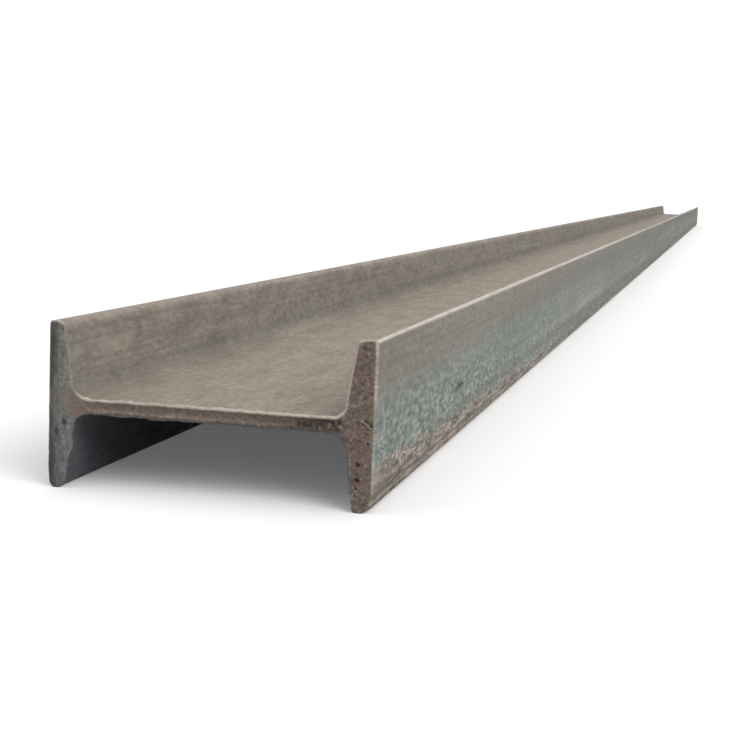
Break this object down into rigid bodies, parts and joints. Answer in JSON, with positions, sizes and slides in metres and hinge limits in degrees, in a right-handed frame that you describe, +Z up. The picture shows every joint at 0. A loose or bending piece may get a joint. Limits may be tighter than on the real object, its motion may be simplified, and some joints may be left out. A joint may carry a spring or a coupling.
{
  "type": "steel i-beam",
  "caption": "Straight rolled steel I-beam with tapered flanges, rounded toes and root fillets, lying on its side with sawn ends.",
  "frame": {"origin": "middle of the footprint, on the surface that the flange tips lie on", "axes": "+Y along the beam, +X across the depth of the section, +Z up, square to the web"},
  "size_m": [0.15, 6, 0.075],
  "materials": {
    "rolled_steel": "hot-rolled mill scale, grey with light rust and dust, cut ends bare and brown"
  },
  "bodies": {
    "root": {"beam": "rolled_steel"}
  },
  "joints": []
}
